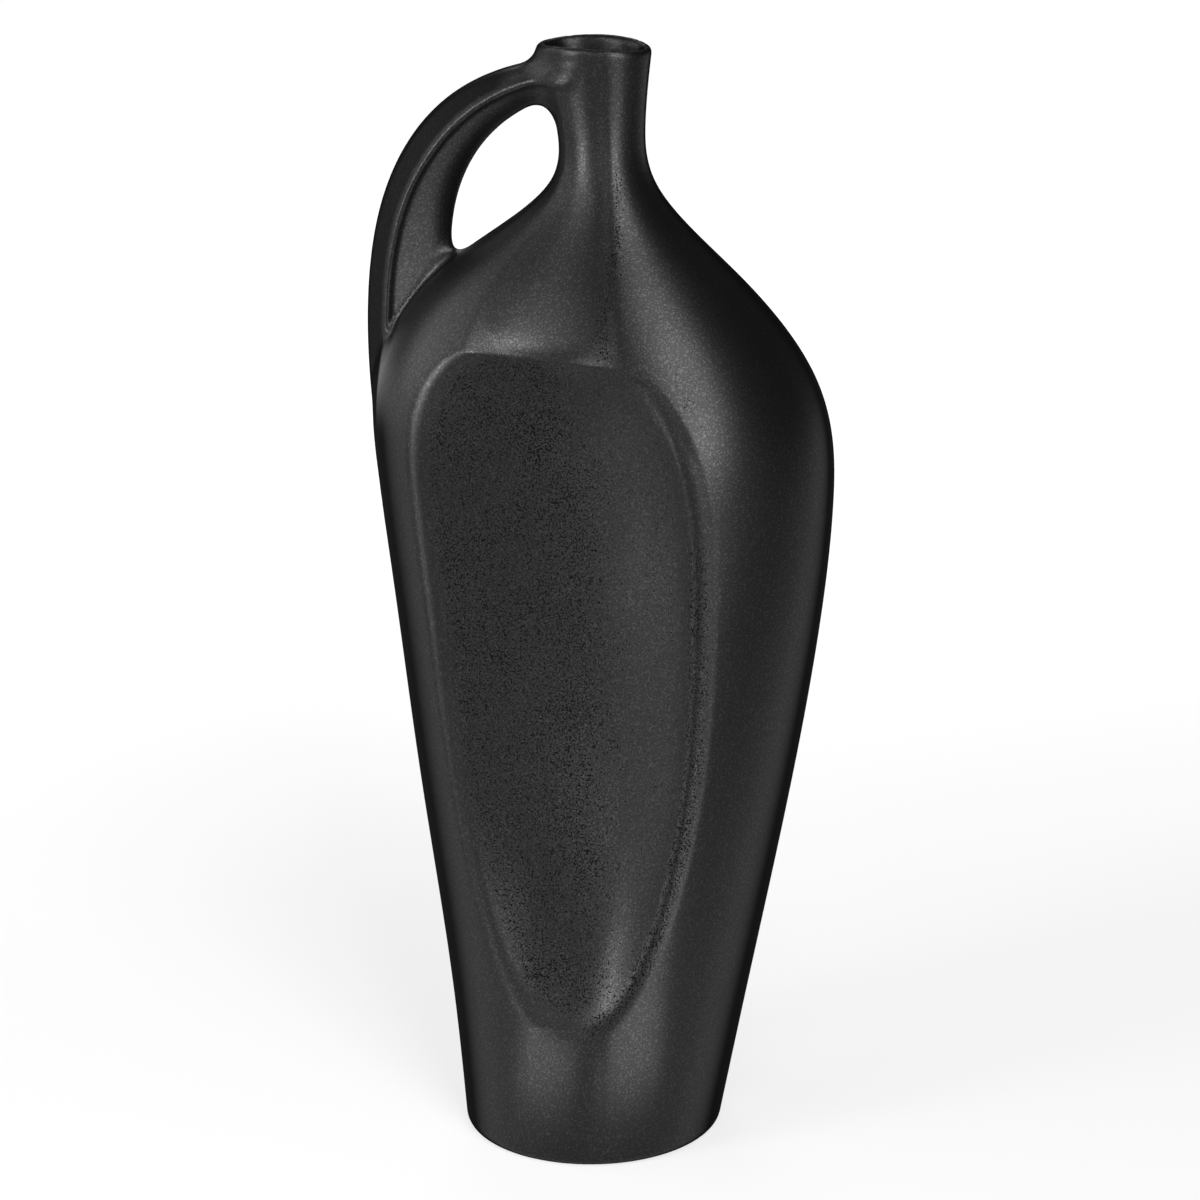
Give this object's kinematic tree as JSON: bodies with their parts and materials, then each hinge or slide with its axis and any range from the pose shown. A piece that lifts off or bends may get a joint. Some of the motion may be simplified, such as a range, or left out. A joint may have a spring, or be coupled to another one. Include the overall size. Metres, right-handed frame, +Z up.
{
  "type": "bottle vase",
  "caption": "Tall flattened bottle vase in matt black glazed stoneware, with a pressed panel front and back, a short flared neck and a loop handle from neck to shoulder.",
  "frame": {"origin": "middle of the flat foot, on the surface that the vase stands on", "axes": "+Z up along the vase; +X to the right, away from the handle; -Y towards the front panel"},
  "size_m": [0.197, 0.1194, 0.457],
  "materials": {
    "glaze": "matt black crystalline glaze",
    "foot": "bare stoneware under the foot, glazed round the heel"
  },
  "bodies": {
    "root": {"foot_slab": "foot", "front_shell": "glaze", "back_shell": "glaze", "neck_collar": "glaze", "handle": "glaze"}
  },
  "joints": []
}
